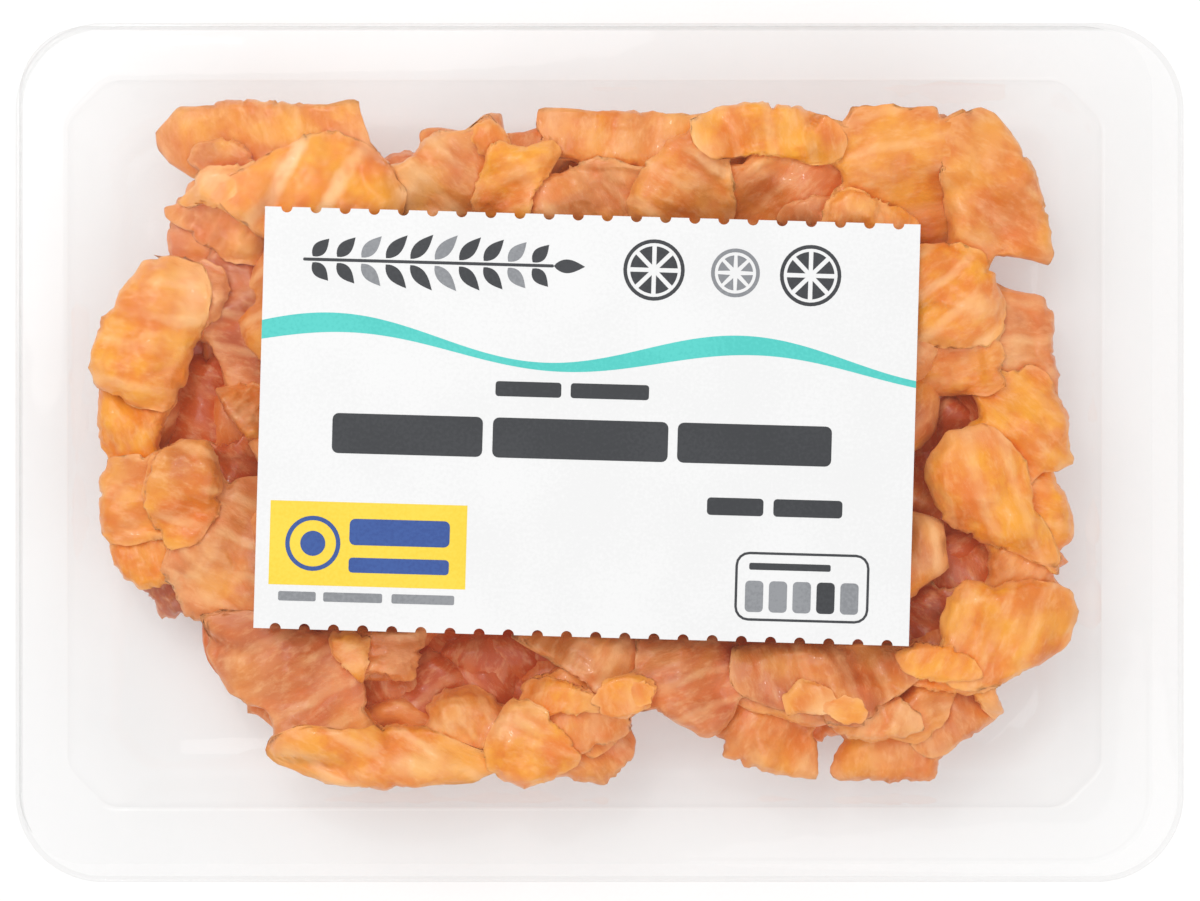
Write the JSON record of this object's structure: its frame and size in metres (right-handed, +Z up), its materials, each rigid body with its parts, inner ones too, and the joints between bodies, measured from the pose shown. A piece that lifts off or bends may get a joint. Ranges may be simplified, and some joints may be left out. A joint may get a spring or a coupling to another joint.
{
  "type": "pack of smoked salmon",
  "caption": "Shallow clear tray heaped with torn flakes of smoked salmon, shut by a clear film that carries a white paper label with punched long edges.",
  "frame": {"origin": "under the middle of the tray's rim outline, at the level that the tray rests on", "axes": "+X along the long side, +Y towards the long side that is at the top of the label, +Z up"},
  "size_m": [0.187, 0.1376, 0.0222],
  "materials": {
    "clear_tray": "clear thermoformed tray, glossy, faintly grey at its edges and folds",
    "smoked_salmon": "wet orange fish flesh with pale fat lines",
    "lid_film": "clear sealing film, glossy",
    "label_paper": "white satin label paper with a plain print of bands, bars and simple motifs"
  },
  "bodies": {
    "root": {"tray": "clear_tray", "salmon_heap": "smoked_salmon", "lid_film": "lid_film", "label": "label_paper"}
  },
  "joints": []
}
